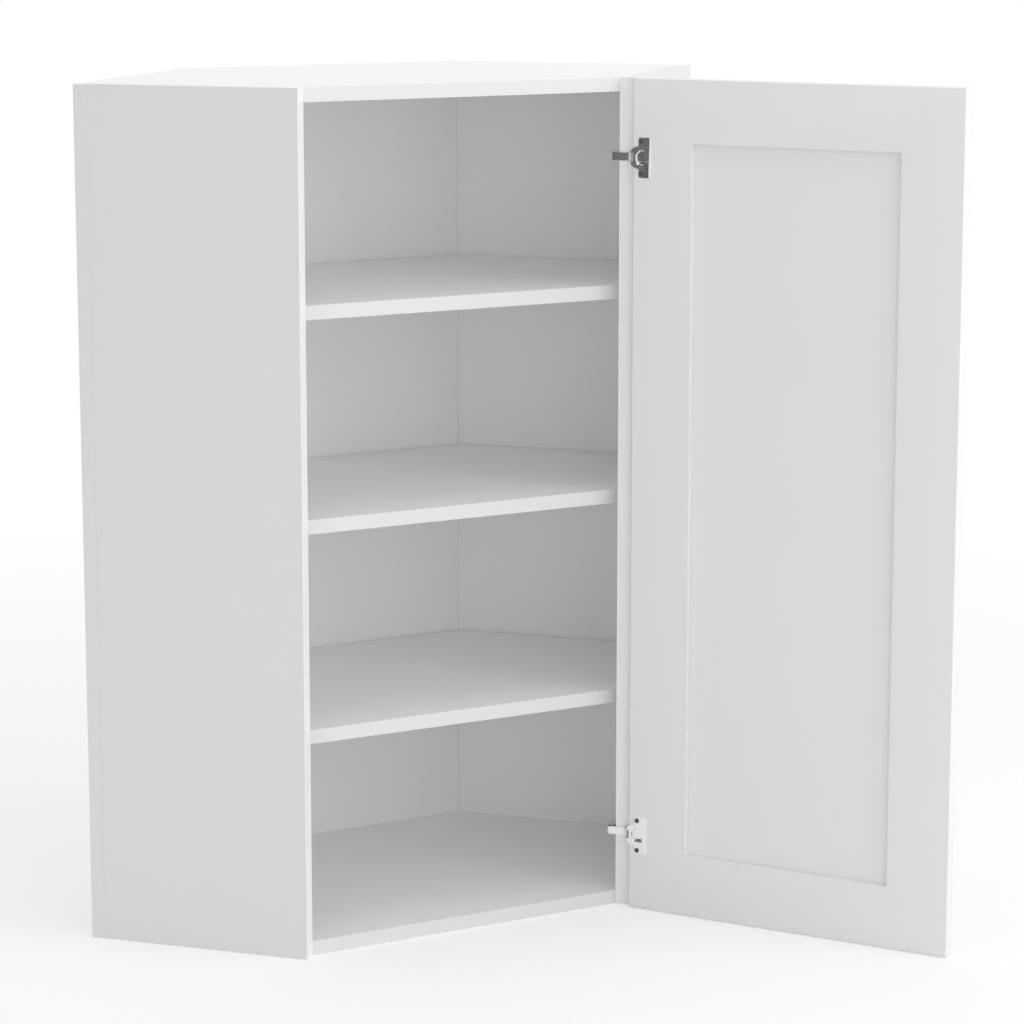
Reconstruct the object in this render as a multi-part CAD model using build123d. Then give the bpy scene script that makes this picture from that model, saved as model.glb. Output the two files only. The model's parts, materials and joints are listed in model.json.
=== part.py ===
from build123d import *
import os
from math import sqrt

# Diagonal corner wall cabinet, 42 in tall on two 24 in walls: square-ended side boards, a clipped
# back corner, three loose shelves, and one frame-and-panel door on two single-pin concealed
# hinges. Millimetres, +Z up. The diagonal front faces -Y and the room's corner lies on +Y.
# The origin is under the middle of the bottom panel, on the cabinet's line of symmetry.

SQRT2 = sqrt(2)
LEFT, RIGHT = -1, 1

# Carcass
HEIGHT = 1066.8            # 42 in
WALL_LENGTH = 609.6        # 24 in, from the room's corner to the outside of an end panel
END_DEPTH = 288.6          # from the wall to the front of an end panel, edge band included
CLIP_LEG = 283.0           # the clipped back corner's leg along each wall
BOARD = 18.0               # end, back, top and bottom boards and shelves
BAND = 1.0                 # edge band glued on each front edge

# Shelves
SHELF_COUNT = 3
SHELF_SETBACK = 20.7       # shelf front behind the top and bottom fronts
SHELF_GAP = 1.5            # all round a shelf

# Shelf supports: a stem pushed in a bored hole, and an angle that carries the shelf
SUPPORT_STEM = 5.0
SUPPORT_STEM_DEPTH = 9.0
SUPPORT_CLEARANCE = 0.1
SUPPORT_SHEET = 2.0
SUPPORT_WIDTH = 12.0
SUPPORT_REACH = 11.0       # under the shelf, from the wall
SUPPORT_DROP = 9.0         # down the wall
FRONT_SUPPORT_SETBACK = 45.0   # from an end panel's front edge
REAR_SUPPORT_INSET = 135.0     # from an end panel's inner face, along the side back panel

# Housings in the end panels for the ends of the top and bottom panels
HOUSING_DEPTH = 6.0

# Door
DOOR_THICKNESS = 20.0
DOOR_REVEAL_BELOW = 1.0    # door's lower end above the cabinet's underside
DOOR_REVEAL_ABOVE = 0.2    # door's upper end below the cabinet's top
DOOR_SETOFF = 4.7          # closed door's inner face in front of the top and bottom fronts
FRAME_WIDTH = 79.0         # stiles and rails
CENTER_THICKNESS = 6.0
CENTER_RECESS = 8.0        # centre panel behind the frame's inner face
GROOVE_DEPTH = 10.0
GROOVE_CLEARANCE = 0.1
GROOVE_END_GAP = 0.5       # centre panel and rail tongues to the groove's floor
OPEN_ANGLE = 125.3

# Hinges: a rolled arm in front of the end panel's edge, and a cup with a flange on the door
HINGE_FROM_END = 98.2      # hinge centre from the cabinet's top and underside
HINGE_PIN_SETOUT = 2.53    # pin axis in front of the end panel's edge
HINGE_PIN_INSET = 3.8      # pin axis inside the end panel's outer face
DOOR_EDGE_TO_PIN = 7.8     # closed door's hinge edge to the pin axis beyond it
KNUCKLE_GAP = 0.33         # rolled eye to the end panel's edge
SHEET = 1.0                # pressed steel of arm and hood
HINGE_PIN_CLEARANCE = 0.05
ARM_HEIGHT = 10.0
ARM_STANDOFF = 12.0        # outside of the arm from the end panel's inner face
ARM_REACH = 52.0           # arm behind the end panel's front edge
ARM_BEND = 3.0
ARM_CHEEK = 6.5            # depth of the arm's folded sides
ARM_CHEEK_START = 5.0      # behind the end panel's front edge
EAR_GAP = 0.4              # hood's ears above and below the arm
EAR_HEIGHT = 2.6
FLANGE_START = 7.7         # from the door's hinge edge
FLANGE_WIDTH = 17.6
FLANGE_HEIGHT = 50.0
FLANGE_THICKNESS = 1.2
FLANGE_CORNER = 2.5
FLANGE_BEVEL = 3.8         # along the flange, on its free side
FLANGE_BEVEL_DEPTH = 0.9
HOOD_RADIUS = 14.0
HOOD_CENTER = 8.3          # from the door's hinge edge
WINDOW_END = 0.6           # the arm's window in the hood ends this far inside the door's edge
CUP_CENTER = 11.8          # from the door's hinge edge
CUP_DIAMETER = 19.6
CUP_DEPTH = 9.0
CUP_CLEARANCE = 0.1
POCKET_WIDTH = 16.4        # at the flange's face
POCKET_HEIGHT = 18.4
POCKET_CORNER = 5.5
POCKET_DEPTH = 3.0         # from the flange's face
POCKET_SLOPE = 1.2         # the walls lean in this far on the way down
CUP_SCREW_FROM_EDGE = 11.7
CUP_SCREW_SPACING = 39.5

# Mounting plates inside the right end panel
PLATE_THICKNESS = 2.0
PLATE_START = 12.0         # behind the end panel's front edge
PLATE_LENGTH = 46.0
PLATE_BODY = 17.0
PLATE_WING_WIDTH = 14.0
PLATE_WING_CORNER = 3.0
PLATE_SCREW_SETBACK = 37.0
PLATE_SCREW_SPACING = 32.0
PLATE_WING_MARGIN = 7.0
BOSS_CLEARANCE = 0.2       # boss inside the arm's sides, and under the arm

# Screws of the hinge plates and cups: flat round heads
SCREW_SHANK = 3.2
SCREW_HEAD = 6.4
SCREW_HEAD_THICKNESS = 1.0
SCREW_LENGTH = 14.0        # under the head
SCREW_CLEARANCE = 0.1

# Worked out from the sizes above
CLIP_MIDDLE = CLIP_LEG / SQRT2                          # half the clipped corner's outer width
DEPTH_TO_CORNER = (WALL_LENGTH - BOARD + END_DEPTH) / SQRT2   # room's corner to the front line
FRONT_TO_BACK = DEPTH_TO_CORNER - CLIP_MIDDLE - BOARD
FRONT_Y = -FRONT_TO_BACK / 2                            # front edge line of top and bottom
ROOM_CORNER_Y = FRONT_Y + DEPTH_TO_CORNER
BACK_Y = ROOM_CORNER_Y - CLIP_MIDDLE                    # outer face of the corner back panel
BACK_INNER_Y = BACK_Y - BOARD
BACK_JOINT_ALONG = (ROOM_CORNER_Y - BACK_INNER_Y) * SQRT2 - BOARD   # inner mitre of the backs
INNER_ALONG = WALL_LENGTH - BOARD                       # inner face of an end panel
BAY = (HEIGHT - (SHELF_COUNT + 2) * BOARD) / (SHELF_COUNT + 1)
SHELF_BOTTOMS = [(n + 1) * (BAY + BOARD) for n in range(SHELF_COUNT)]
SHELF_NAMES = ["lower", "middle", "upper"]
HINGE_HEIGHTS = {"lower": HINGE_FROM_END, "upper": HEIGHT - HINGE_FROM_END}

DOOR_Z = (DOOR_REVEAL_BELOW, HEIGHT - DOOR_REVEAL_ABOVE)
KNUCKLE_RADIUS = HINGE_PIN_SETOUT - KNUCKLE_GAP
EYE_RADIUS = KNUCKLE_RADIUS - SHEET
HINGE_PIN_RADIUS = EYE_RADIUS - HINGE_PIN_CLEARANCE
EAR_START = ARM_HEIGHT / 2 + EAR_GAP
EAR_END = EAR_START + EAR_HEIGHT
FROM_END = (Align.CENTER, Align.CENTER, Align.MIN)      # stands a round on its end


def wall_point(along, off, side=RIGHT):
    """Plan point `along` a wall from the room's corner and `off` from that wall."""
    return side * (along - off) / SQRT2, ROOM_CORNER_Y - (along + off) / SQRT2


def board(points, bottom, height):
    """A board cut to a plan outline."""
    outline = Polyline(*[(x, y, bottom) for x, y in points], close=True)
    return extrude(make_face(outline), height, dir=(0, 0, 1))


def wall_board(along, off, side, bottom=0, height=HEIGHT):
    """A rectangular board square to a wall, from (start, end) along it and off it."""
    corners = [(along[0], off[0]), (along[1], off[0]), (along[1], off[1]), (along[0], off[1])]
    return board([wall_point(a, o, side) for a, o in corners], bottom, height)


def plug(place, direction, diameter, length):
    """A plain cylinder from a place, along a direction."""
    return Plane(place, z_dir=direction) * Cylinder(diameter / 2, length, align=FROM_END)


def screw(place, direction):
    """A screw whose head seats at a place, driven along a direction."""
    shank = plug(place, direction, SCREW_SHANK, SCREW_LENGTH)
    return shank + plug(place, -direction, SCREW_HEAD, SCREW_HEAD_THICKNESS)


def screw_hole(place, direction):
    """The room under a screw's head."""
    return plug(place, direction, SCREW_SHANK + 2 * SCREW_CLEARANCE, SCREW_LENGTH + SCREW_CLEARANCE)


# ---- Where the carcass hardware goes -------------------------------------------------------

def into_wall(side):
    """Horizontal direction from inside the cabinet straight to a side's wall."""
    return Vector(side, 1, 0) / SQRT2


def outward(side):
    """Horizontal direction from inside the cabinet through an end panel."""
    return Vector(side, -1, 0) / SQRT2


def place(along, off, side, z):
    x, y = wall_point(along, off, side)
    return Vector(x, y, z)


def support_spots(z):
    """Wall point and direction into the wall, for the supports of a shelf whose underside is at z."""
    spots = []
    for side in (LEFT, RIGHT):
        front_off = END_DEPTH - FRONT_SUPPORT_SETBACK
        spots.append((place(INNER_ALONG, front_off, side, z), outward(side)))
        spots.append((place(INNER_ALONG - REAR_SUPPORT_INSET, BOARD, side, z), into_wall(side)))
    return spots


SUPPORT_AXIS = Vector(0, 0, -SUPPORT_DROP / 2)           # stem axis under the shelf


# ---- Boards --------------------------------------------------------------------------------

def support_bores(piece, wall):
    """Blind holes for the stems of all shelf supports that enter this wall."""
    for z in SHELF_BOTTOMS:
        for spot, way in support_spots(z):
            if way == wall:
                piece -= plug(spot + SUPPORT_AXIS, way, SUPPORT_STEM + 2 * SUPPORT_CLEARANCE,
                              SUPPORT_STEM_DEPTH + SUPPORT_CLEARANCE)
    return piece


def end_panel(side):
    """Board housed for the top and bottom; the right one is bored for the mounting plates."""
    piece = wall_board((INNER_ALONG, WALL_LENGTH), (BOARD, END_DEPTH - BAND), side)
    for bottom in (0, HEIGHT - BOARD):
        piece -= wall_board((INNER_ALONG, INNER_ALONG + HOUSING_DEPTH), (BOARD, END_DEPTH), side,
                            bottom, BOARD)
    piece = support_bores(piece, outward(side))
    if side == RIGHT:
        for z in HINGE_HEIGHTS.values():
            for spot in plate_screw_spots(z):
                piece -= screw_hole(*spot)
    return piece


def end_band(side):
    return wall_board((INNER_ALONG, WALL_LENGTH), (END_DEPTH - BAND, END_DEPTH), side)


def side_back_panel(side):
    """Board on the wall, mitred against the corner back panel."""
    points = [(CLIP_LEG, 0), (WALL_LENGTH, 0), (WALL_LENGTH, BOARD), (BACK_JOINT_ALONG, BOARD)]
    piece = board([wall_point(a, o, side) for a, o in points], 0, HEIGHT)
    return support_bores(piece, into_wall(side))


def corner_back_panel():
    inner = wall_point(BACK_JOINT_ALONG, BOARD)[0]
    points = [(-CLIP_MIDDLE, BACK_Y), (CLIP_MIDDLE, BACK_Y),
              (inner, BACK_INNER_Y), (-inner, BACK_INNER_Y)]
    return board(points, 0, HEIGHT)


def deck_outline(front, gap=0.0, tongue=0.0):
    """Plan between the end and back panels, from a front line backwards.

    With a tongue, the ends reach that far into the end panels' housings.
    """
    side_line = INNER_ALONG - gap
    front_off = (ROOM_CORNER_Y - front) * SQRT2 - side_line      # front line meets the side line
    back_along = (ROOM_CORNER_Y - BACK_INNER_Y + gap) * SQRT2 - BOARD - gap
    corners = [(side_line, front_off), (side_line + tongue, BOARD + gap), (back_along, BOARD + gap)]
    if tongue:
        corners.insert(1, (side_line + tongue, front_off))
    right = [wall_point(a, o, RIGHT) for a, o in corners]
    return right + [(-x, y) for x, y in reversed(right)]


def front_strip(front, gap=0.0):
    """Plan of an edge band on a deck's front edge."""
    outer, inner = deck_outline(front, gap), deck_outline(front + BAND, gap)
    return [outer[0], inner[0], inner[-1], outer[-1]]


def deck_panel(bottom):
    """Top or bottom panel, its ends in the housings."""
    return board(deck_outline(FRONT_Y + BAND, tongue=HOUSING_DEPTH), bottom, BOARD)


def deck_band(bottom):
    return board(front_strip(FRONT_Y), bottom, BOARD)


def shelf(bottom):
    return board(deck_outline(FRONT_Y + SHELF_SETBACK + BAND, SHELF_GAP), bottom, BOARD)


def shelf_band(bottom):
    return board(front_strip(FRONT_Y + SHELF_SETBACK, SHELF_GAP), bottom, BOARD)


# ---- Loose carcass hardware ----------------------------------------------------------------

def shelf_support(spot, direction):
    """Angle against the wall and under the shelf, with its stem in the wall."""
    profile = Polyline((0, 0), (SUPPORT_REACH, 0), (SUPPORT_REACH, -SUPPORT_SHEET),
                       (SUPPORT_SHEET, -SUPPORT_SHEET), (SUPPORT_SHEET, -SUPPORT_DROP),
                       (0, -SUPPORT_DROP), close=True)
    wall = Plane(spot, x_dir=-direction, z_dir=-direction.cross(Vector(0, 0, 1)))
    angle = wall * extrude(make_face(profile), SUPPORT_WIDTH / 2, both=True)
    return angle + plug(spot + SUPPORT_AXIS, direction, SUPPORT_STEM, SUPPORT_STEM_DEPTH)


# ---- Hinge hardware on the cabinet: k into the cabinet, m out of the front edge ---------------

def panel_frame(z):
    """Frame at the right end panel's inner front corner: X = k, Y = m, Z up."""
    return Plane(place(INNER_ALONG, END_DEPTH, RIGHT, z), x_dir=(-1, 1, 0), z_dir=(0, 0, 1))


PIN_K = HINGE_PIN_INSET - BOARD
PIN_POINT = place(WALL_LENGTH - HINGE_PIN_INSET, END_DEPTH + HINGE_PIN_SETOUT, RIGHT, 0)


def plate_screw_spots(z):
    """Head point and direction of the two screws of a mounting plate."""
    frame = panel_frame(z)
    return [(frame.from_local_coords((PLATE_THICKNESS, -PLATE_SCREW_SETBACK, dz)), outward(RIGHT))
            for dz in (-PLATE_SCREW_SPACING / 2, PLATE_SCREW_SPACING / 2)]


def rolled_eye(radius, low, high):
    """Sheet rolled round the hinge pin, about the origin."""
    ring = Circle(radius) - Circle(EYE_RADIUS)
    return Pos(0, 0, low) * extrude(ring, high - low, dir=(0, 0, 1))


def hinge_arm(z):
    """Eye, strap in front of the edge, bend, and a channel over the mounting plate."""
    half = ARM_HEIGHT / 2
    front, back = KNUCKLE_GAP + SHEET, KNUCKLE_GAP
    inside = ARM_STANDOFF - SHEET
    strip = make_face(Polyline((PIN_K, front), (ARM_STANDOFF, front), (ARM_STANDOFF, -ARM_REACH),
                               (inside, -ARM_REACH), (inside, back), (PIN_K, back), close=True))
    for corner, radius in (((ARM_STANDOFF, front, 0), ARM_BEND), ((inside, back, 0), ARM_BEND - SHEET)):
        strip = fillet(strip.vertices().sort_by_distance(corner)[0], radius)
    arm = Pos(0, 0, -half) * extrude(strip, ARM_HEIGHT, dir=(0, 0, 1))
    arm -= Pos(PIN_K, HINGE_PIN_SETOUT, 0) * Cylinder(EYE_RADIUS, 2 * ARM_HEIGHT)
    arm += Pos(PIN_K, HINGE_PIN_SETOUT, 0) * rolled_eye(KNUCKLE_RADIUS, -half, half)
    cheek = Box(ARM_CHEEK, ARM_REACH - ARM_CHEEK_START, SHEET,
                align=(Align.MAX, Align.MAX, Align.CENTER))
    for dz in (SHEET / 2 - half, half - SHEET / 2):
        arm += Pos(inside, -ARM_CHEEK_START, dz) * cheek
    return panel_frame(z) * arm


def mounting_plate(z):
    """Winged plate on the end panel with the boss that fills the arm."""
    upright = (Align.MIN, Align.MAX, Align.CENTER)
    start = Pos(0, -PLATE_START, 0)
    boss_width = ARM_HEIGHT - 2 * SHEET - 2 * BOSS_CLEARANCE
    boss_top = ARM_STANDOFF - SHEET - BOSS_CLEARANCE
    plate = start * Box(PLATE_THICKNESS, PLATE_LENGTH, PLATE_BODY, align=upright)
    plate += start * Box(boss_top, PLATE_LENGTH, boss_width, align=upright)
    wing_height = PLATE_SCREW_SPACING + 2 * PLATE_WING_MARGIN
    wing = chamfer(Rectangle(PLATE_WING_WIDTH, wing_height).vertices(), PLATE_WING_CORNER)
    plate += Pos(0, -PLATE_SCREW_SETBACK, 0) * extrude(Plane.YZ * wing, PLATE_THICKNESS, dir=(1, 0, 0))
    plate = panel_frame(z) * plate
    for spot in plate_screw_spots(z):
        plate -= screw_hole(*spot)
    return plate


# ---- Door, drawn closed: u from the hinge edge, v from the inner face into the door ------------

DOOR_EDGE_X = PIN_POINT.X - DOOR_EDGE_TO_PIN
DOOR_WIDTH = 2 * DOOR_EDGE_X
DOOR_INNER_Y = FRONT_Y - DOOR_SETOFF
PIN_V = DOOR_INNER_Y - PIN_POINT.Y


def door_frame(z=0.0):
    """Frame at the closed door's inner hinge corner: X = u, Y = v, Z up."""
    return Plane(Vector(DOOR_EDGE_X, DOOR_INNER_Y, z), x_dir=(-1, 0, 0), z_dir=(0, 0, 1))


def opened(piece):
    """Swing a piece of the closed door about the hinge pins to the open pose."""
    return piece.rotate(Axis(PIN_POINT, (0, 0, 1)), OPEN_ANGLE)


def door_box(u, v, z):
    """A box in door coordinates, from (low, high) pairs."""
    size = [pair[1] - pair[0] for pair in (u, v, z)]
    return Pos(u[0], v[0], z[0]) * Box(*size, align=(Align.MIN, Align.MIN, Align.MIN))


GROOVE_V = (CENTER_RECESS - GROOVE_CLEARANCE, CENTER_RECESS + CENTER_THICKNESS + GROOVE_CLEARANCE)


def stile(u):
    """Upright with a groove along the edge that faces the centre panel."""
    piece = door_box(u, (0, DOOR_THICKNESS), DOOR_Z)
    faces_up = u[0] < DOOR_WIDTH / 2
    groove_u = (u[1] - GROOVE_DEPTH, u[1] + 1) if faces_up else (u[0] - 1, u[0] + GROOVE_DEPTH)
    return piece - door_box(groove_u, GROOVE_V, (DOOR_Z[0] - 1, DOOR_Z[1] + 1))


def hinge_stile():
    """Upright that carries the hinges: round bores for the cups and their screws."""
    piece = stile((0, FRAME_WIDTH))
    for z in HINGE_HEIGHTS.values():
        piece -= plug(Vector(CUP_CENTER, 0, z), (0, 1, 0), CUP_DIAMETER + 2 * CUP_CLEARANCE,
                      CUP_DEPTH + CUP_CLEARANCE)
        for spot, way in cup_screw_spots():
            piece -= screw_hole(spot + Vector(0, 0, z), way)
    return door_frame() * piece


def latch_stile():
    return door_frame() * stile((DOOR_WIDTH - FRAME_WIDTH, DOOR_WIDTH))


def rail(z, groove_up):
    """Rail between the stiles, grooved towards the centre panel, with a tongue at each end."""
    u = (FRAME_WIDTH, DOOR_WIDTH - FRAME_WIDTH)
    piece = door_box(u, (0, DOOR_THICKNESS), z)
    reach = GROOVE_DEPTH - GROOVE_END_GAP
    tongue_v = (CENTER_RECESS, CENTER_RECESS + CENTER_THICKNESS)
    piece += door_box((u[0] - reach, u[1] + reach), tongue_v, z)
    groove_z = (z[1] - GROOVE_DEPTH, z[1] + 1) if groove_up else (z[0] - 1, z[0] + GROOVE_DEPTH)
    return door_frame() * (piece - door_box((u[0] - reach - 1, u[1] + reach + 1), GROOVE_V, groove_z))


def center_panel():
    reach = GROOVE_DEPTH - GROOVE_END_GAP
    u = (FRAME_WIDTH - reach, DOOR_WIDTH - FRAME_WIDTH + reach)
    z = (DOOR_Z[0] + FRAME_WIDTH - reach, DOOR_Z[1] - FRAME_WIDTH + reach)
    return door_frame() * door_box(u, (CENTER_RECESS, CENTER_RECESS + CENTER_THICKNESS), z)


def cup_screw_spots():
    """Head point and direction of a cup's two screws, in door coordinates."""
    half = CUP_SCREW_SPACING / 2
    return [(Vector(CUP_SCREW_FROM_EDGE, -FLANGE_THICKNESS, dz), Vector(0, 1, 0))
            for dz in (-half, half)]


def hood_outline():
    """Elevation of flange and hood: tall plate, round hood, ears with a window for the arm."""
    to_edge = (Align.MAX, Align.CENTER)
    middle = FLANGE_START + FLANGE_WIDTH / 2
    plate = fillet(Rectangle(FLANGE_WIDTH, FLANGE_HEIGHT).vertices(), FLANGE_CORNER)
    hood = Pos(HOOD_CENTER, 0) * Circle(HOOD_RADIUS)
    hood &= Pos(middle, 0) * Rectangle(4 * HOOD_RADIUS, 2 * HOOD_RADIUS, align=to_edge)
    ears = Rectangle(4 * HOOD_RADIUS, 2 * EAR_END, align=to_edge)
    window = Pos(WINDOW_END, 0) * Rectangle(4 * HOOD_RADIUS, 2 * EAR_START, align=to_edge)
    return Pos(middle, 0) * plate + hood + ears - window


def cup_pocket():
    """Eight-sided pocket whose flat walls lean in, from the flange's face down."""
    corners = []
    for depth, lean in ((0, 0), (POCKET_DEPTH, POCKET_SLOPE)):
        level = Plane((CUP_CENTER, depth - FLANGE_THICKNESS, 0), x_dir=(1, 0, 0), z_dir=(0, 1, 0))
        outline = Rectangle(POCKET_WIDTH - 2 * lean, POCKET_HEIGHT - 2 * lean).vertices()
        outline = chamfer(outline, POCKET_CORNER - lean * (2 - SQRT2))
        corners += [corner.center() for corner in (level * outline).vertices()]
    return ConvexPolyhedron(corners)


def hinge_cup(z):
    """Flange, hood, ears rolled round the pin, and the cup sunk in the stile."""
    # Section of the sheet. The slanting part lies along the end panel's edge when closed.
    pin = (-DOOR_EDGE_TO_PIN, PIN_V)
    slant_outer = sum(pin) - KNUCKLE_RADIUS * SQRT2           # u + v on the outer surface
    slant_inner = slant_outer + SHEET * SQRT2
    foot = KNUCKLE_RADIUS / SQRT2
    outer_foot = (pin[0] - foot, pin[1] - foot)
    inner_foot = (outer_foot[0] + SHEET / SQRT2, outer_foot[1] + SHEET / SQRT2)
    flange_end = FLANGE_START + FLANGE_WIDTH
    section = Polyline((flange_end, 0), (slant_inner, 0), inner_foot, outer_foot,
                       (slant_outer + FLANGE_THICKNESS, -FLANGE_THICKNESS),
                       (flange_end - FLANGE_BEVEL, -FLANGE_THICKNESS),
                       (flange_end, FLANGE_BEVEL_DEPTH - FLANGE_THICKNESS), close=True)
    sheet = Pos(0, 0, -FLANGE_HEIGHT / 2) * extrude(make_face(section), FLANGE_HEIGHT, dir=(0, 0, 1))
    elevation = Plane(origin=(0, 0, 0), x_dir=(1, 0, 0), z_dir=(0, -1, 0)) * hood_outline()
    sheet &= extrude(elevation, 4 * HOOD_RADIUS, dir=(0, 1, 0), both=True)
    sheet -= Pos(*pin) * Cylinder(EYE_RADIUS, 2 * EAR_END)
    for low, high in ((EAR_START, EAR_END), (-EAR_END, -EAR_START)):
        sheet += Pos(*pin) * rolled_eye(KNUCKLE_RADIUS, low, high)
    cup = plug(Vector(CUP_CENTER, 0, 0), (0, 1, 0), CUP_DIAMETER, CUP_DEPTH)
    piece = sheet + cup - cup_pocket()
    for spot in cup_screw_spots():
        piece -= screw_hole(*spot)
    return door_frame(z) * piece


def hinge_pin(z):
    """Pin through both ears and the arm's eye."""
    return Pos(PIN_POINT.X, PIN_POINT.Y, z) * Cylinder(HINGE_PIN_RADIUS, 2 * EAR_END)


# ---- All nodes -----------------------------------------------------------------------------

def carcass():
    nodes = {"corner_back_panel": corner_back_panel()}
    for name, bottom in (("bottom", 0), ("top", HEIGHT - BOARD)):
        nodes[name + "_panel"] = deck_panel(bottom)
        nodes[name + "_edge_band"] = deck_band(bottom)
    for name, side in (("left", LEFT), ("right", RIGHT)):
        nodes[name + "_end_panel"] = end_panel(side)
        nodes[name + "_end_edge_band"] = end_band(side)
        nodes[name + "_back_panel"] = side_back_panel(side)
    return nodes


def shelves():
    nodes = {}
    for name, bottom in zip(SHELF_NAMES, SHELF_BOTTOMS):
        nodes[name + "_shelf"] = shelf(bottom)
        nodes[name + "_shelf_edge_band"] = shelf_band(bottom)
        nodes[name + "_shelf_supports"] = [shelf_support(*spot) for spot in support_spots(bottom)]
    return nodes


def hinges():
    nodes = {"hinge_plate_screws": [], "hinge_cup_screws": []}
    for name, z in HINGE_HEIGHTS.items():
        nodes[name + "_hinge_arm"] = hinge_arm(z)
        nodes[name + "_hinge_mounting_plate"] = mounting_plate(z)
        nodes[name + "_hinge_cup"] = opened(hinge_cup(z))
        nodes[name + "_hinge_pin"] = opened(hinge_pin(z))
        nodes["hinge_plate_screws"] += [screw(*spot) for spot in plate_screw_spots(z)]
        nodes["hinge_cup_screws"] += [opened(door_frame(z) * screw(*spot))
                                      for spot in cup_screw_spots()]
    return nodes


def door():
    rail_height = FRAME_WIDTH
    pieces = {
        "door_hinge_stile": hinge_stile(),
        "door_latch_stile": latch_stile(),
        "door_bottom_rail": rail((DOOR_Z[0], DOOR_Z[0] + rail_height), True),
        "door_top_rail": rail((DOOR_Z[1] - rail_height, DOOR_Z[1]), False),
        "door_center_panel": center_panel(),
    }
    return {name: opened(piece) for name, piece in pieces.items()}


os.makedirs("parts", exist_ok=True)
for node, shape in {**carcass(), **shelves(), **hinges(), **door()}.items():
    solids = Compound(children=shape) if isinstance(shape, list) else shape
    export_step(solids, f"parts/{node}.step")
print("pin axis", PIN_POINT, "bay", BAY, "front", FRONT_Y, "back", BACK_Y)
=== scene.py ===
# %% [markdown]
# # A diagonal corner wall cabinet in white
#
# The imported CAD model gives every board, hinge and screw its place. This script dresses that model:
# it eases the edges of the boards, joins the door's frame into one lacquered piece, adds the small
# hardware, mixes the finishes and sets up a plain photographer's studio. Everything is in metres.

# %% Load the frame
import json
import math

import bmesh
import bpy
from mathutils import Matrix, Vector
from mathutils.bvhtree import BVHTree


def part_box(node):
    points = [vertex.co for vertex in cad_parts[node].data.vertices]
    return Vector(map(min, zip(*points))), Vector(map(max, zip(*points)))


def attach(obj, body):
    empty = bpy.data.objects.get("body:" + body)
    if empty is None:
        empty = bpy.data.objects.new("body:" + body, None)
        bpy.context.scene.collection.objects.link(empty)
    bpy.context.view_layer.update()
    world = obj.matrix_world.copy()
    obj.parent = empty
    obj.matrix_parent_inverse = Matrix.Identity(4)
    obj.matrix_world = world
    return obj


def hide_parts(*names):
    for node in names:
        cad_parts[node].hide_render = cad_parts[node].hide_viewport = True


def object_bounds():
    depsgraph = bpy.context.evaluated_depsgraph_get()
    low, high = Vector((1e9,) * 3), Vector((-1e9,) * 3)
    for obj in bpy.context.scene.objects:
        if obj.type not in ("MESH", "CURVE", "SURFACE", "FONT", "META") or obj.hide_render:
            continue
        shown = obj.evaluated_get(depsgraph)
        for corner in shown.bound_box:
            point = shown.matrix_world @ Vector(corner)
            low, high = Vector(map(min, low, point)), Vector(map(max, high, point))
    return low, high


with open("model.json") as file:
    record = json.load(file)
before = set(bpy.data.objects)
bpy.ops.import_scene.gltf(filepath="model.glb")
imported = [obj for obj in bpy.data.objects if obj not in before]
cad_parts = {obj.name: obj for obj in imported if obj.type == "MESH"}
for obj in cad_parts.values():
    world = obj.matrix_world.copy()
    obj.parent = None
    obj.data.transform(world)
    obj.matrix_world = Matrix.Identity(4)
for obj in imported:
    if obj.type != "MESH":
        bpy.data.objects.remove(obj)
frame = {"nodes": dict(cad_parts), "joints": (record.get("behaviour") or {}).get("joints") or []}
cad_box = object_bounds()
nodes = frame["nodes"]
print("loaded", len(nodes), "nodes; box", [round(x, 4) for corner in cad_box for x in corner])

# %% [markdown]
# ## Units and directions
#
# Blender counts in metres and a cabinet maker in millimetres, so MM turns one into the other. The
# end panels and back boards stand square to two walls of a room, and the front runs across at 45
# degrees. Each side of the cabinet is described by two directions, out of its end panel and towards
# its wall, because a direction stays right when a size changes.

# %% Units and directions
MM = 0.001
SQUARE = math.sqrt(0.5)
OUT_OF_PANEL = {"left": Vector((-SQUARE, -SQUARE, 0)), "right": Vector((SQUARE, -SQUARE, 0))}
TO_WALL = {"left": Vector((-SQUARE, SQUARE, 0)), "right": Vector((SQUARE, SQUARE, 0))}
print("out of the right end panel:", [round(x, 3) for x in OUT_OF_PANEL["right"]])

# %% [markdown]
# ## Shader sums
#
# A finish is a web of nodes. Each node could be laid and linked by hand, but written as sums the
# web stays readable. So one small class wraps a socket: adding or scaling two of them lays down a
# Math node, and `node` lays down anything else.

# %% The wire class
class Wire:
    """A node's output that can be added, subtracted and scaled like a number."""

    def __init__(self, tree, socket=None):
        self.tree, self.socket = tree, socket

    def node(self, kind, settings=(), sockets=(), output=0):
        """Lay a node: settings first, then the values or links of its sockets."""
        made = self.tree.nodes.new(kind)
        for key, value in dict(settings).items():
            setattr(made, key, value)
        for key, value in dict(sockets).items():
            if isinstance(value, Wire):
                self.tree.links.new(value.socket, made.inputs[key])
            else:
                made.inputs[key].default_value = value
        return Wire(self.tree, made.outputs[output] if made.outputs else None)

    def sum(self, operation, first, second):
        """Lay a Math node on two wires or numbers."""
        return self.node("ShaderNodeMath", {"operation": operation}, {0: first, 1: second})

    def __add__(self, other):
        return self.sum("ADD", self, other)

    def __sub__(self, other):
        return self.sum("SUBTRACT", self, other)

    def __rsub__(self, other):
        return self.sum("SUBTRACT", other, self)

    def __mul__(self, other):
        return self.sum("MULTIPLY", self, other)

    def over(self, other):
        """One where either mask is one."""
        return self.sum("MAXIMUM", self, other)

    __radd__, __rmul__ = __add__, __mul__


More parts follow.
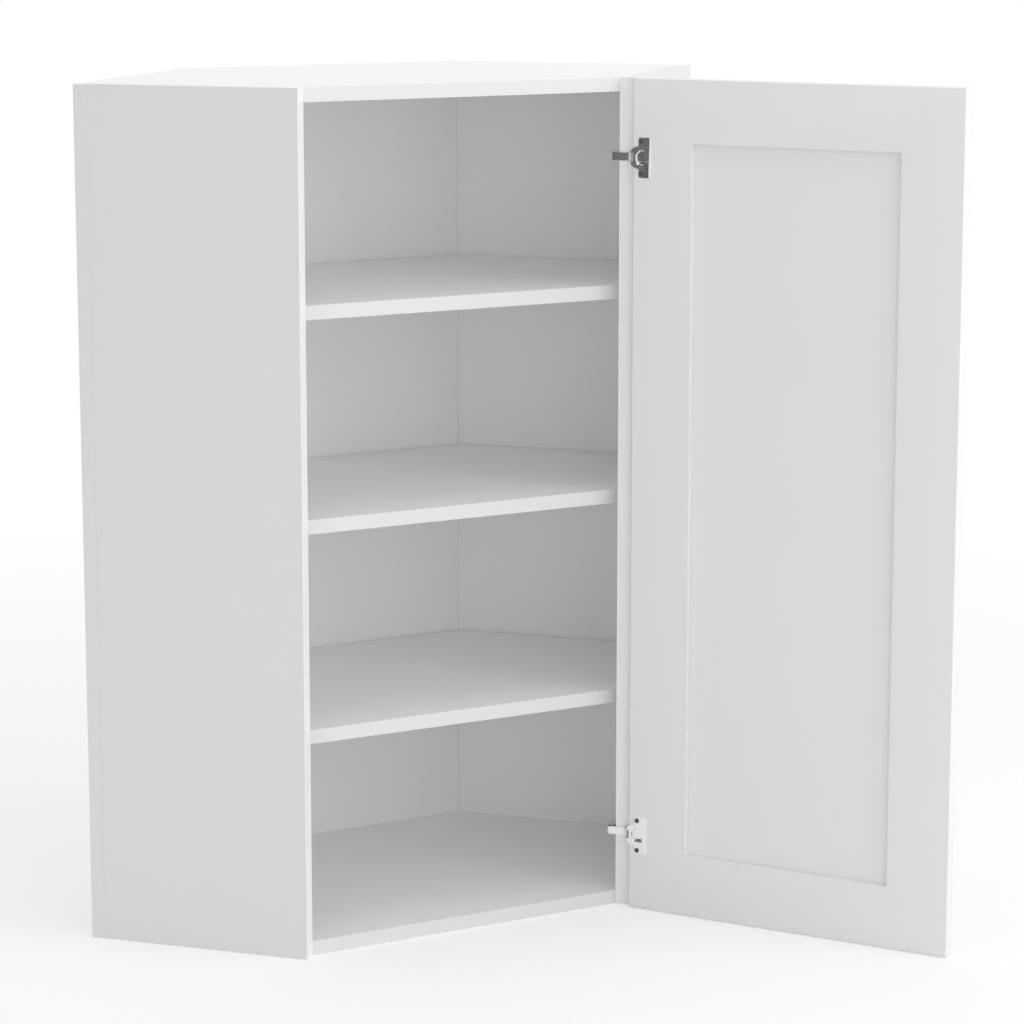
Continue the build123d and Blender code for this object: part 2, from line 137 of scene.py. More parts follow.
# %% [markdown]
# Every finish here is mixed in the same steps: start an empty material, lay a cloudy pattern, blend
# two colours by it and close the tree with a shader. The pattern could be laid in world space, but
# the door's would then slide as it swings. Object coordinates keep it fixed to its piece.

# %% Patterns, tints and surfaces
MIX_FACTOR, MIX_FIRST, MIX_SECOND, MIX_COLOUR = 0, 6, 7, 2


def new_finish(name):
    """A material with an empty tree, and a wire to start from."""
    material = bpy.data.materials.new(name)
    material.use_nodes = True
    material.node_tree.nodes.clear()
    return material, Wire(material.node_tree)


def noise(start, scale, detail=2.0, stretch=(1, 1, 1)):
    """Cloudy pattern between 0 and 1, fixed to the piece; scale counts clouds to the metre."""
    place = start.node("ShaderNodeTexCoord", output="Object")
    place = start.node("ShaderNodeMapping", sockets={"Vector": place, "Scale": stretch})
    return start.node("ShaderNodeTexNoise", sockets={
        "Vector": place, "Scale": scale, "Detail": detail})


def tint(start, mask, low, high):
    """Blend of two colours by a mask, on the Mix node's own sockets for colours."""
    return start.node("ShaderNodeMix", {"data_type": "RGBA"}, {
        MIX_FACTOR: mask, MIX_FIRST: (*low, 1), MIX_SECOND: (*high, 1)}, output=MIX_COLOUR)


def surface(start, sockets, height=None, depth=0.0):
    """Close a finish with a Principled shader and, if given, a bump of real depth in metres."""
    sockets = dict(sockets)
    if height is not None:
        sockets["Normal"] = start.node("ShaderNodeBump", sockets={
            "Height": height, "Distance": depth, "Strength": 1.0})
    shader = start.node("ShaderNodeBsdfPrincipled", sockets=sockets)
    start.node("ShaderNodeOutputMaterial", sockets={"Surface": shader})


# %% [markdown]
# ## White finishes
#
# Five whites are mixed for this cabinet. The boards wear a satin foil with a fine pebble in it, and
# the outside wears a satin paint. The bands on the front edges are a smoother plastic. The bands of
# the two end panels are the same plastic painted lighter: painted light that stands in for more
# light falling on them. The door is sprayed: lacquer flows out flatter than foil, and what is left
# is a long, shallow orange peel. One flat colour could serve for all of them, but no real white is
# quite even. So each drifts by about one percent over a hand's breadth, and has a grain of its own.

# %% Foil, paint, edge bands and lacquer
TONE_CLOUDS, PEBBLE_DETAIL = 5.0, 3.0
DRIFT_GLOSS, PEBBLE_GLOSS = 0.05, 0.06
COAT_ROUGHNESS = 0.25


def white_finish(name, low, high, rough, grain, depth, coat=0.0):
    """A white that drifts slowly in tone and gloss and has a fine pebble of real depth."""
    material, start = new_finish(name)
    drift = noise(start, TONE_CLOUDS)
    pebble = noise(start, grain, detail=PEBBLE_DETAIL)
    surface(start, {
        "Base Color": tint(start, drift, low, high),
        "Roughness": rough + DRIFT_GLOSS * drift + PEBBLE_GLOSS * pebble,
        "Coat Weight": coat, "Coat Roughness": COAT_ROUGHNESS,
    }, pebble, depth)
    return material


foil = white_finish("satin_board_foil", (0.900, 0.900, 0.894), (0.915, 0.915, 0.909),
                    rough=0.36, grain=900.0, depth=0.03 * MM)
paint = white_finish("outside_satin_paint", (0.792, 0.792, 0.784), (0.808, 0.808, 0.800),
                     rough=0.34, grain=320.0, depth=0.02 * MM)
banding = white_finish("edge_banding", (0.775, 0.775, 0.768), (0.790, 0.790, 0.783),
                       rough=0.28, grain=500.0, depth=0.01 * MM)
# The end bands are the same plastic as the other bands, painted lighter as painted light.
end_banding_painted_light = white_finish("end_edge_banding_painted_light", (0.895, 0.895, 0.888), (0.910, 0.910, 0.903),
                           rough=0.28, grain=500.0, depth=0.01 * MM)
lacquer = white_finish("sprayed_lacquer", (0.834, 0.834, 0.826), (0.850, 0.850, 0.842),
                       rough=0.30, grain=260.0, depth=0.02 * MM, coat=0.15)
print("white finishes:", *[white.name for white in (foil, paint, banding, end_banding_painted_light, lacquer)])

# %% [markdown]
# ## Metal finishes
#
# The hinges are pressed from steel strip and nickel plated. A plain mirror would look like chrome,
# but plating keeps the rolling marks of the strip, so its gloss is streaked along the strip. The
# screws are darker, and the shelf supports are zinc plated, which is duller and a little mottled.
# One recipe with other numbers makes all three.

# %% Nickel, dark screw steel and zinc
STREAK_DETAIL, MOTTLE_CLOUDS = 4.0, 160.0


def plated(name, low, high, rough, spread, scale, depth, stretch=(1, 1, 1)):
    """Plated steel with streaks of gloss and a faint mottle."""
    material, start = new_finish(name)
    streaks = noise(start, scale, STREAK_DETAIL, stretch)
    mottle = noise(start, MOTTLE_CLOUDS)
    surface(start, {
        "Base Color": tint(start, mottle, low, high),
        "Metallic": 1.0,
        "Roughness": rough + spread * streaks,
    }, streaks, depth)
    return material


nickel = plated("nickel_plated_steel", (0.78, 0.78, 0.78), (0.84, 0.84, 0.83),
                rough=0.10, spread=0.10, scale=700.0, depth=0.004 * MM, stretch=(1, 1, 0.12))
screw_steel = plated("dark_screw_steel", (0.09, 0.09, 0.09), (0.15, 0.15, 0.15),
                     rough=0.26, spread=0.14, scale=1500.0, depth=0.01 * MM)
zinc = plated("zinc_plated_steel", (0.56, 0.58, 0.60), (0.68, 0.69, 0.70),
              rough=0.30, spread=0.20, scale=900.0, depth=0.01 * MM)
print("metal finishes:", nickel.name, screw_steel.name, zinc.name)

# %% [markdown]
# ## Boards with eased edges
#
# A sawn board with dead sharp edges looks like paper. On a real one every bare edge is eased by a
# pass of the trimmer, and that narrow round is what catches the light. The boards could be drawn
# anew, but the CAD boards are right in size, so each is copied and its bare edges are marked for a
# bevel. An edge where a band is glued on isn't eased, because the two are flush there and only a
# hairline shows, so edges that touch the partner are left out.

# %% A closed skin and its bare edges
WELD = 0.01 * MM
TOUCH = 0.05 * MM
FLAT = math.radians(0.5)
SHARP = math.radians(25)


def merged(node):
    """A CAD node's mesh as one closed skin with flat areas in one face."""
    skin = bmesh.new()
    skin.from_mesh(nodes[node].data)
    bmesh.ops.remove_doubles(skin, verts=skin.verts, dist=WELD)
    bmesh.ops.dissolve_limit(skin, angle_limit=FLAT, verts=skin.verts, edges=skin.edges)
    return skin


def mark_bare_edges(skin, shortest, partner=None):
    """Give the bare sharp edges a bevel weight, and keep the others crisp."""
    touching = BVHTree.FromBMesh(merged(partner)) if partner else None
    weights = skin.edges.layers.float.new("bevel_weight_edge")
    for edge in skin.edges:
        if edge.calc_face_angle(0) < SHARP:
            continue
        glued = touching and all(touching.find_nearest(end.co)[3] < TOUCH for end in edge.verts)
        if edge.is_convex and edge.calc_length() > shortest and not glued:
            edge[weights] = 1.0
        else:
            edge.smooth = False


# %% [markdown]
# The marked skin becomes a piece of its own: it gets its finish and rides on a body of the
# mechanism, and the CAD node it stands for is hidden. The round could be cut into the mesh, but a
# Bevel modifier keeps its width a number that is easy to change. A bevel alone leaves big faces
# shaded like cushions, so a Weighted Normal modifier follows it and keeps them flat.

# %% From a skin to an eased piece
BIG_FACES_LEAD = 100
SHORTEST_EASED = 3 * MM


def in_scene(name, skin):
    """Put a skin in the scene as an object of its own."""
    mesh = bpy.data.meshes.new(name)
    skin.to_mesh(mesh)
    skin.free()
    shape = bpy.data.objects.new(name, mesh)
    bpy.context.scene.collection.objects.link(shape)
    return shape


def finished_piece(name, skin, finish, body, stands_for=()):
    """Turn a skin into a piece that rides on a body."""
    for face in skin.faces:
        face.smooth = True
    piece = in_scene(name, skin)
    piece.data.materials.append(finish)
    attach(piece, body)
    if stands_for:
        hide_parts(*stands_for)
    return piece


def ease(piece, radius, segments=3):
    """Round the marked edges and keep the faces between them flat."""
    bevel = piece.modifiers.new("eased", "BEVEL")
    bevel.width, bevel.segments, bevel.limit_method = radius, segments, "WEIGHT"
    shading = piece.modifiers.new("flat faces stay flat", "WEIGHTED_NORMAL")
    shading.weight, shading.keep_sharp = BIG_FACES_LEAD, True


def eased_copy(node, finish, radius, partner=None):
    """A board or band of the cabinet with its bare edges eased."""
    skin = merged(node)
    mark_bare_edges(skin, SHORTEST_EASED, partner)
    piece = finished_piece(node + "_eased", skin, finish, "cabinet", [node])
    ease(piece, radius)
    return piece


# %% [markdown]
# The bottom, the top and the shelves are foiled, and the two end panels are painted. Each has a
# plastic band glued on its front edge. Board and band could be one piece, but they differ in finish
# and a hairline shows between them, so both stay. Each is the other's partner, and the band gets a
# slightly wider round, as a trimmer leaves it.

# %% Ease every board and band
LEVELS = ("lower", "middle", "upper")
BOARD_EASE, BAND_EASE = 0.4 * MM, 0.6 * MM
banded = {"bottom_panel": "bottom_edge_band", "top_panel": "top_edge_band",
          "left_end_panel": "left_end_edge_band", "right_end_panel": "right_end_edge_band"}
for level in LEVELS:
    banded[level + "_shelf"] = level + "_shelf_edge_band"
for panel, band in banded.items():
    finish, slot = foil, "shelf_board" if "shelf" in panel else "carcass_board"
    strip = banding
    # The end bands take the banding painted lighter: painted light.
    if "end" in panel:
        finish, slot, strip = paint, "end_panel_paint", end_banding_painted_light
    eased_copy(panel, finish, BOARD_EASE, band)
    eased_copy(band, strip, BAND_EASE, panel)
print("eased", 2 * len(banded), "boards and bands")

# %% [markdown]
# The three back boards are foiled on the room side and painted outside, so that the finished end of
# the cabinet looks the same all the way to the wall. A second layer of mesh could carry the paint,
# but a face can pick its own material: it takes the paint if it looks outwards. The edges of these
# boards are eased twice as wide, so a fine shadow line shows in the corners where they meet.

# %% Back boards with a painted outside
BACK_EASE = 0.8 * MM
SAME_WAY = 0.99
outsides = {side + "_back_panel": (OUT_OF_PANEL[side], TO_WALL[side]) for side in TO_WALL}
outsides["corner_back_panel"] = (Vector((0, 1, 0)),)
for panel, ways in outsides.items():
    piece = eased_copy(panel, foil, BACK_EASE)
    piece.data.materials.append(paint)
    for face in piece.data.polygons:
        if any(face.normal.dot(way) > SAME_WAY for way in ways):
            face.material_index = 1
print("painted outside:", *outsides)

# %% [markdown]
# ## The door's own coordinates
#
# A door is easiest to draw shut. So a point of it is written from its hinge edge (u), into its
# thickness (v) and up (z), and is then swung open about the hinge pins. Corners typed in as they
# stand when it is open would hide its sizes. The pins' place and the angle come from the joint of
# the CAD frame.

# %% Points and directions of the open door
swing = frame["joints"][0]
PIN = Vector((swing["pos_m"][0], swing["pos_m"][1], 0))
OPEN_TURN = -math.radians(swing["range_deg"][0])
EDGE_TO_PIN = 7.8 * MM
DOOR_SETOFF = 4.7 * MM
DOOR_WIDTH = 2 * (PIN.x - EDGE_TO_PIN)
DOOR_BACK_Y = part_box("bottom_edge_band")[0].y - DOOR_SETOFF
OPENED = Matrix.Translation(PIN) @ Matrix.Rotation(OPEN_TURN, 4, "Z") @ Matrix.Translation(-PIN)


def door_point(u, v, z):
    """A place on the open door from its hinge edge, its inner face and the floor."""
    return OPENED @ Vector((DOOR_WIDTH / 2 - u, DOOR_BACK_Y - v, z))


def door_way(u, v, z=0):
    """A direction in the open door's own coordinates."""
    return OPENED.to_3x3() @ Vector((-u, -v, z))


print("door", round(DOOR_WIDTH, 4), "wide, swung", round(math.degrees(OPEN_TURN), 1), "degrees")

# %% [markdown]
# ## The door's frame in one piece
#
# Two stiles and two rails are glued up, sanded flush and only then sprayed, so no joint shows, as
# it would between four eased bars. One section, carried round the rectangle, gives a closed frame
# instead: a rounded outer edge, a crisper inner one, and the groove that holds the centre panel.

# %% Section of the frame
DOOR_THICK = 20 * MM
FRAME_WIDE = 79 * MM
GROOVE_DEEP = 10 * MM
GROOVE = (7.9 * MM, 14.1 * MM)
OUTER_EASE, INNER_EASE = 1.0 * MM, 0.6 * MM
ARC_STEPS = 4


def rounded(corner, before, after, radius):
    """Points of an arc that rounds a corner between two directions at a right angle."""
    corner, before, after = Vector(corner), Vector(before), Vector(after)
    centre = corner + radius * (before + after)
    turns = [math.pi / 2 * n / ARC_STEPS for n in range(ARC_STEPS + 1)]
    return [centre - radius * (after * math.cos(t) + before * math.sin(t)) for t in turns]


def frame_section():
    """The frame's section: in from the outer edge, and from the inner face into the door."""
    wide, thick = FRAME_WIDE, DOOR_THICK
    section = rounded((0, 0), (0, 1), (1, 0), OUTER_EASE)
    section += rounded((wide, 0), (-1, 0), (0, 1), INNER_EASE)
    section += [Vector(p) for p in ((wide, GROOVE[0]), (wide - GROOVE_DEEP, GROOVE[0]),
                                    (wide - GROOVE_DEEP, GROOVE[1]), (wide, GROOVE[1]))]
    section += rounded((wide, thick), (0, -1), (-1, 0), INNER_EASE)
    section += rounded((0, thick), (1, 0), (0, -1), OUTER_EASE)
    return section


print("section of the frame:", len(frame_section()), "points")

# %% [markdown]
# A joiner mitres a moulding at 45 degrees to turn it round a corner. The same happens here when a
# point of the section is measured inwards from two edges of the door at once: that puts one ring of
# points in the mitre of each corner. Faces between the four rings close the frame.

# %% Carry the section round the door
DOOR_Z = (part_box("door_latch_stile")[0].z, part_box("door_latch_stile")[1].z)


def crease(skin):
    """Leave an edge crisp where its two faces meet at more than a slight angle."""
    for edge in skin.edges:
        edge.smooth = edge.calc_face_angle(0) < SHARP


def swept_frame():
    """The section carried round the door's rectangle, mitred at the corners."""
    skin = bmesh.new()
    rings = []
    for right, top in ((0, 0), (1, 0), (1, 1), (0, 1)):
        ring = []
        for inward, v in frame_section():
            u = DOOR_WIDTH - inward if right else inward
            z = DOOR_Z[1] - inward if top else DOOR_Z[0] + inward
            ring.append(skin.verts.new(door_point(u, v, z)))
        rings.append(ring)
    count = len(rings[0])
    for here, there in zip(rings, rings[1:] + rings[:1]):
        for n in range(count):
            skin.faces.new((here[n], there[n], there[(n + 1) % count], here[(n + 1) % count]))
    bmesh.ops.recalc_face_normals(skin, faces=skin.faces)
    crease(skin)
    return skin


door_frame = finished_piece("door_frame_lacquered", swept_frame(), lacquer, "door",
                            ["door_hinge_stile", "door_latch_stile", "door_bottom_rail",
                             "door_top_rail"])
print("door frame:", len(door_frame.data.polygons), "faces")

# %% [markdown]
# ### Bores
#
# Each cup sits in a round bore, with a small one for a screw above and below. Six cuts in a row
# would each risk a fault, so one cutter mesh holds all six drills.

# %% The drills
HINGES = ("lower", "upper")
HINGE_Z = [sum(corner.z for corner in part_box(name + "_hinge_pin")) / 2 for name in HINGES]
CUP_FROM_EDGE = 11.8 * MM
SCREW_FROM_EDGE, SCREW_RISE = 11.7 * MM, 19.75 * MM
CUP_BORE, CUP_BORE_DEPTH = 9.9 * MM, 9.1 * MM
SCREW_BORE, SCREW_BORE_DEPTH = 1.7 * MM, 12.9 * MM
DRILL_START = -1 * MM
DRILL_SIDES = 64


def drill(skin, u, z, radius, depth):
    """A closed round bar through the door's inner face."""
    turns = [math.tau * n / DRILL_SIDES for n in range(DRILL_SIDES)]
    rims = []
    for v in (DRILL_START, depth):
        places = [(u + radius * math.cos(t), v, z + radius * math.sin(t)) for t in turns]
        rims.append([skin.verts.new(door_point(*place)) for place in places])
        skin.faces.new(rims[-1])
    for n in range(DRILL_SIDES):
        after = (n + 1) % DRILL_SIDES
        skin.faces.new((rims[0][n], rims[0][after], rims[1][after], rims[1][n]))


bars = bmesh.new()
for z in HINGE_Z:
    drill(bars, CUP_FROM_EDGE, z, CUP_BORE, CUP_BORE_DEPTH)
    for rise in (-SCREW_RISE, SCREW_RISE):
        drill(bars, SCREW_FROM_EDGE, z + rise, SCREW_BORE, SCREW_BORE_DEPTH)
bmesh.ops.recalc_face_normals(bars, faces=bars.faces)
drills = in_scene("drills", bars)
print("drills for the hinges at", [round(z, 4) for z in HINGE_Z])

# %% [markdown]
# A Boolean modifier takes the drills out of the frame in one go, but only when the piece is
# evaluated. So the result is read back as a plain mesh, and modifier and drills are put away.

# %% Bore the frame
def crisp(mesh):
    """Smooth faces that meet in sharp edges."""
    skin = bmesh.new()
    skin.from_mesh(mesh)
    for face in skin.faces:
        face.smooth = True
    crease(skin)
    skin.to_mesh(mesh)
    skin.free()
    return mesh


def evaluated_mesh(piece):
    """The piece's mesh with its modifiers worked in."""
    graph = bpy.context.evaluated_depsgraph_get()
    return bpy.data.meshes.new_from_object(piece.evaluated_get(graph))


cut = door_frame.modifiers.new("bores", "BOOLEAN")
cut.operation, cut.solver, cut.object = "DIFFERENCE", "EXACT", drills
bored_mesh = evaluated_mesh(door_frame)
door_frame.modifiers.remove(cut)
door_frame.data = crisp(bored_mesh)
bpy.data.objects.remove(drills)
print("door frame after boring:", len(door_frame.data.polygons), "faces")

# %% [markdown]
# ### Centre panel
#
# The centre panel is a thin flat board that floats in the groove, so it can swell and shrink. Its
# edges are hidden, so an eased copy would show nothing new. Its CAD shape stays and only gets its
# lacquer.

# %% Centre panel
def dress(node, finish):
    """Give a CAD node its finish."""
    nodes[node].data.materials.clear()
    nodes[node].data.materials.append(finish)


dress("door_center_panel", lacquer)
print("lacquered: door_center_panel")

# %% [markdown]
# ## Hinges
#
# The pressed parts of a hinge have rounded edges too, on a smaller scale. The cup is drawn out of
# flat strip, and steel that is drawn over a die keeps its radius: the rim of the pocket rolls in
# softly, and that roll shows as a bright line. To round it more than the rest, the rim's edges have
# to be found: they lie in the flange's face and inside the pocket's outline.

# %% Find the rim of the pocket
POCKET_HALF, POCKET_SLACK = (8.2 * MM, 9.2 * MM), 0.1 * MM
FLANGE_FACE = -1.2 * MM
UNSWING = OPENED.inverted()


def door_uvz(place):
    """The open door's own coordinates of a place."""
    shut = UNSWING @ place
    return DOOR_WIDTH / 2 - shut.x, DOOR_BACK_Y - shut.y, shut.z


def on_pocket_rim(edge, z):
    """True for the edges where the flange's face turns into the pocket."""
    for end in edge.verts:
        u, v, height = door_uvz(end.co)
        inside = (abs(u - CUP_FROM_EDGE) < POCKET_HALF[0] + POCKET_SLACK
                  and abs(height - z) < POCKET_HALF[1] + POCKET_SLACK)
        if abs(v - FLANGE_FACE) > TOUCH or not inside:
            return False
    return edge.is_convex


# %% [markdown]
# The rim gets a bevel of 1 mm, and every other edge one of about a fifth of that. Two bevels in a
# row would round each other's new edges. One Bevel modifier does both, because the weight of an
# edge scales its width. The pins are polished bar and stay as they are.

# %% Pressed hinge metal
PRESS_EASE, RIM_ROLL, PRESS_STEPS = 0.22 * MM, 1.0 * MM, 4
SHORTEST_PRESSED = 1.5 * MM
PRESSED_PARTS = {"cup": "door", "arm": "cabinet", "mounting_plate": "cabinet"}


def pressed_copy(node, body):
    """A hinge part with its pressed edges and, on a cup, the rolled rim of the pocket."""
    skin = merged(node)
    mark_bare_edges(skin, SHORTEST_PRESSED)
    weights = skin.edges.layers.float["bevel_weight_edge"]
    middle = HINGE_Z["upper" in node]
    rim = 0
    for edge in skin.edges:
        if body == "door" and on_pocket_rim(edge, middle):
            rim += 1
            edge[weights] = 1.0
        elif edge[weights]:
            edge[weights] = PRESS_EASE / RIM_ROLL
    piece = finished_piece(node + "_pressed", skin, nickel, body, [node])
    ease(piece, RIM_ROLL, PRESS_STEPS)
    return rim


for name in HINGES:
    rims = [pressed_copy(f"{name}_hinge_{part}", body) for part, body in PRESSED_PARTS.items()]
    dress(f"{name}_hinge_pin", nickel)
    print(name, "hinge pressed, edges round its pocket:", rims[0])

# %% [markdown]
# ## Small hardware by rule
#
# Screws, shelf supports and staples repeat many times. Each could be copied by hand, but each is
# also a simple rule: a screw is a profile turned about its axis, a support or a staple is an
# outline with some thickness. Geometry Nodes fit that well: a tree keeps the sizes as named inputs
# and sets as many pieces as there are spots. First come the small steps that every tree takes.

# %% Small steps of a geometry tree
SAME_POINT = 1e-6


def vector(start, x=0.0, y=0.0, z=0.0):
    """Three numbers or wires as one vector."""
    return start.node("ShaderNodeCombineXYZ", sockets={0: x, 1: y, 2: z})


def shifted(start, mesh, **shift):
    """The mesh moved along x, y or z."""
    return start.node("GeometryNodeTransform", sockets={
        "Geometry": mesh, "Translation": vector(start, **shift)})


def welded(start, mesh):
    """The mesh with points that share a place made one."""
    return start.node("GeometryNodeMergeByDistance", sockets={
        "Geometry": mesh, "Distance": SAME_POINT})


def joined(start, first, second):
    """Two meshes in one: the Join node takes both on its only socket."""
    both = start.node("GeometryNodeJoinGeometry", sockets={0: first})
    start.tree.links.new(second.socket, both.socket.node.inputs[0])
    return both


# %% [markdown]
# A tree starts from a plain row or grid of points, and every point is sent to its place. Maths on
# the point's number would do for a circle, but not for a free outline. So an Index Switch looks
# each value up in a list, and a value in that list may hang on the named sizes.

# %% Send the points to their places
def pick(start, index, values):
    """The value whose number in the list is the index."""
    switch = start.tree.nodes.new("GeometryNodeIndexSwitch")
    switch.data_type = "FLOAT"
    while len(switch.index_switch_items) < len(values):
        switch.index_switch_items.new()
    start.tree.links.new(index.socket, switch.inputs[0])
    for socket, value in zip(list(switch.inputs)[1:], values):
        if isinstance(value, Wire):
            start.tree.links.new(value.socket, socket)
        else:
            socket.default_value = value
    return Wire(start.tree, switch.outputs[0])


def placed(start, mesh, x, y, z):
    """The mesh with its points moved to worked-out places."""
    return start.node("GeometryNodeSetPosition", sockets={
        "Geometry": mesh, "Position": vector(start, x, y, z)})


# %% [markdown]
# A lathe turns a profile about an axis. Here a grid does the same: each row of it is one ring of
# the profile, and each column one step round the axis. The seam and the poles are welded shut.

# %% Turn a profile
def turned(start, profile, sides):
    """A profile of (height, radius) pairs turned about X, closed at its seam and poles."""
    heights, radii = zip(*profile)
    grid = start.node("GeometryNodeMeshGrid", sockets={
        "Vertices X": len(profile), "Vertices Y": sides + 1})
    index = start.node("GeometryNodeInputIndex")
    ring = start.sum("FLOOR", start.sum("DIVIDE", index, sides + 1), 0.0)
    turn = start.sum("MODULO", index, sides + 1) * (math.tau / sides)
    radius = pick(start, ring, radii)
    skin = placed(start, grid, pick(start, ring, heights), radius * start.sum("COSINE", turn, 0.0),
                  radius * start.sum("SINE", turn, 0.0))
    return welded(start, skin)


# %% [markdown]
# Bent strip and wire have the same outline all through. So the outline is drawn as a curve, its
# corners are filleted as a bend leaves them, and it is filled and pushed out to its thickness. The
# filled face at the start is flipped, so that it looks outwards as well.

# %% Thicken an outline
CORNER_STEPS = 3


def thickened(start, outline, corner, thickness):
    """An outline of (x, y) pairs with filleted corners, as a plate centred on z = 0."""
    xs, ys = zip(*outline)
    line = start.node("GeometryNodeMeshLine", sockets={"Count": len(outline)})
    index = start.node("GeometryNodeInputIndex")
    line = placed(start, line, pick(start, index, xs), pick(start, index, ys), 0.0)
    curve = start.node("GeometryNodeMeshToCurve", sockets={0: line})
    curve = start.node("GeometryNodeSetSplineCyclic", sockets={0: curve, "Cyclic": True})
    curve = start.node("GeometryNodeFilletCurve", {"mode": "POLY"}, {
        0: curve, "Radius": corner, "Limit Radius": True, "Count": CORNER_STEPS})
    base = start.node("GeometryNodeFillCurve", {"mode": "NGONS"}, {0: curve})
    top = start.node("GeometryNodeExtrudeMesh", sockets={
        "Mesh": base, "Offset": vector(start, z=thickness), "Offset Scale": 1.0,
        "Individual": False})
    flipped = start.node("GeometryNodeFlipFaces", sockets={0: base})
    plate = welded(start, joined(start, flipped, top))
    return shifted(start, plate, z=thickness * -0.5)


# %% [markdown]
# A rule is one tree for one kind of piece. It takes a list of spots, each with a place, the way out
# of the surface and the way up, and sets a piece on every one. The result is read back as a plain
# mesh, so that nothing is left for the export to work out.

# %% The rule class
class Rule:
    """A geometry tree whose inputs are the spots and the sizes of one kind of piece."""

    def __init__(self, name, sizes):
        self.tree = bpy.data.node_groups.new(name, "GeometryNodeTree")
        sockets = self.tree.interface
        sockets.new_socket("Spots", in_out="INPUT", socket_type="NodeSocketGeometry")
        for size in sizes:
            sockets.new_socket(size, in_out="INPUT", socket_type="NodeSocketFloat")
        sockets.new_socket("Pieces", in_out="OUTPUT", socket_type="NodeSocketGeometry")
        self.start, self.sizes = Wire(self.tree), sizes
        entry = self.tree.nodes.new("NodeGroupInput")
        wires = [Wire(self.tree, socket) for socket in entry.outputs if socket.name]
        self.spots, *self.inputs = wires

    def close(self, piece, finish):
        """Set the piece on every spot, turned to the spot's own directions."""
        start = self.start
        out, up = [start.node("GeometryNodeInputNamedAttribute", {"data_type": "FLOAT_VECTOR"},
                              {"Name": way}) for way in ("out", "up")]
        turn = start.node("FunctionNodeAxesToRotation",
                          {"primary_axis": "X", "secondary_axis": "Y"}, {0: out, 1: up})
        pieces = start.node("GeometryNodeInstanceOnPoints", sockets={
            "Points": self.spots, "Instance": piece, "Rotation": turn})
        pieces = start.node("GeometryNodeRealizeInstances", sockets={0: pieces})
        pieces = start.node("GeometryNodeSetMaterial", sockets={
            "Geometry": pieces, "Material": finish})
        start.node("NodeGroupOutput", sockets={0: pieces})

    def lay(self, name, spots, finish, body, slot, stands_for=()):
        """Run the rule on (place, out, up) spots and keep the result as one plain piece."""
        mesh = bpy.data.meshes.new(name + "_spots")
        mesh.from_pydata([spot[0] for spot in spots], [], [])
        for column, way in enumerate(("out", "up"), 1):
            values = mesh.attributes.new(way, "FLOAT_VECTOR", "POINT").data
            for value, spot in zip(values, spots):
                value.vector = spot[column]
        holder = bpy.data.objects.new(name + "_spots", mesh)
        bpy.context.scene.collection.objects.link(holder)
        rule = holder.modifiers.new("rule", "NODES")
        rule.node_group = self.tree
        for socket in self.tree.interface.items_tree:
            if socket.name in self.sizes:
                rule[socket.identifier] = self.sizes[socket.name]
        made = evaluated_mesh(holder)
        holder.modifiers.remove(rule)
        bpy.data.objects.remove(holder)
        skin = bmesh.new()
        skin.from_mesh(made)
        bmesh.ops.recalc_face_normals(skin, faces=skin.faces)
        piece = finished_piece(name, skin, finish, body, stands_for)
        crisp(piece.data)
        print(name, "laid on", len(spots), "spots:", len(piece.data.polygons), "faces")


# %% [markdown]
# ### Screws
#
# A cup or plate screw has a flat round head with a rolled edge, a dished middle and a cross recess.
# Its shank goes in the bore. A picture of a cross would stay flat when the light changes, so the
# recess is cut: two crossed bars are taken out of the turned head. They end at slightly different
# heights, because a Boolean fails where two faces lie in one plane.

# %% The screw rule
SCREW_SIDES = 40
HEAD_PROFILE = ((0.55, 1.0), (0.85, 0.96), (1.0, 0.86), (1.0, 0.72), (0.7, 0.62))
CROSS_WIDTH = 0.22
CROSS_FLOORS = {1: 0.14, 2: 0.1}


def screw_rule(name, head_radius, head_height, shank_radius, shank_length, recess, finish):
    """A rule for one kind of screw: sizes in metres, recess is the length of the cross."""
    rule = Rule(name, {"Head radius": head_radius, "Head height": head_height,
                       "Shank radius": shank_radius, "Shank length": shank_length,
                       "Recess length": recess})
    start = rule.start
    head, rise, shank, length, cross = rule.inputs
    profile = [(length * -1.0, 0.0), (shank - length, shank), (0.0, shank), (0.0, head)]
    profile += [(rise * high, head * wide) for high, wide in HEAD_PROFILE]
    profile.append((rise * HEAD_PROFILE[-1][0], 0.0))
    cut = turned(start, profile, SCREW_SIDES)
    for long_way, floor_height in CROSS_FLOORS.items():
        size = [rise * 2.0, cross * CROSS_WIDTH, cross * CROSS_WIDTH]
        size[long_way] = cross
        bar = start.node("GeometryNodeMeshCube", sockets={"Size": vector(start, *size)})
        bar = shifted(start, bar, x=rise * (1.0 + floor_height))
        cut = start.node("GeometryNodeMeshBoolean", {"operation": "DIFFERENCE"},
                         {"Mesh 1": cut, "Mesh 2": bar})
    rule.close(welded(start, cut), finish)
    return rule


# %% [markdown]
# The cups' screws are set in the door's own coordinates. Plates and arms are screwed to the right
# end panel instead, which stands askew in the room. So it gets coordinates of its own: k from its
# inner face into the cabinet, and m out past its front edge.

# %% Places by the right end panel
Z_UP = Vector((0, 0, 1))
OUT_OF_DOOR = door_way(0, -1)
INTO_CABINET = -OUT_OF_PANEL["right"]
OUT_OF_EDGE = -TO_WALL["right"]
BAND = 1 * MM
EDGE_CORNER = Vector((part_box("right_end_edge_band")[0].x,
                      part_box("right_end_edge_band")[1].y - BAND * SQUARE, 0))


def arm_point(k, m, z):
    """A place by the right end panel: k into the cabinet, m out past its front edge."""
    return EDGE_CORNER + k * INTO_CABINET + m * OUT_OF_EDGE + Vector((0, 0, z))


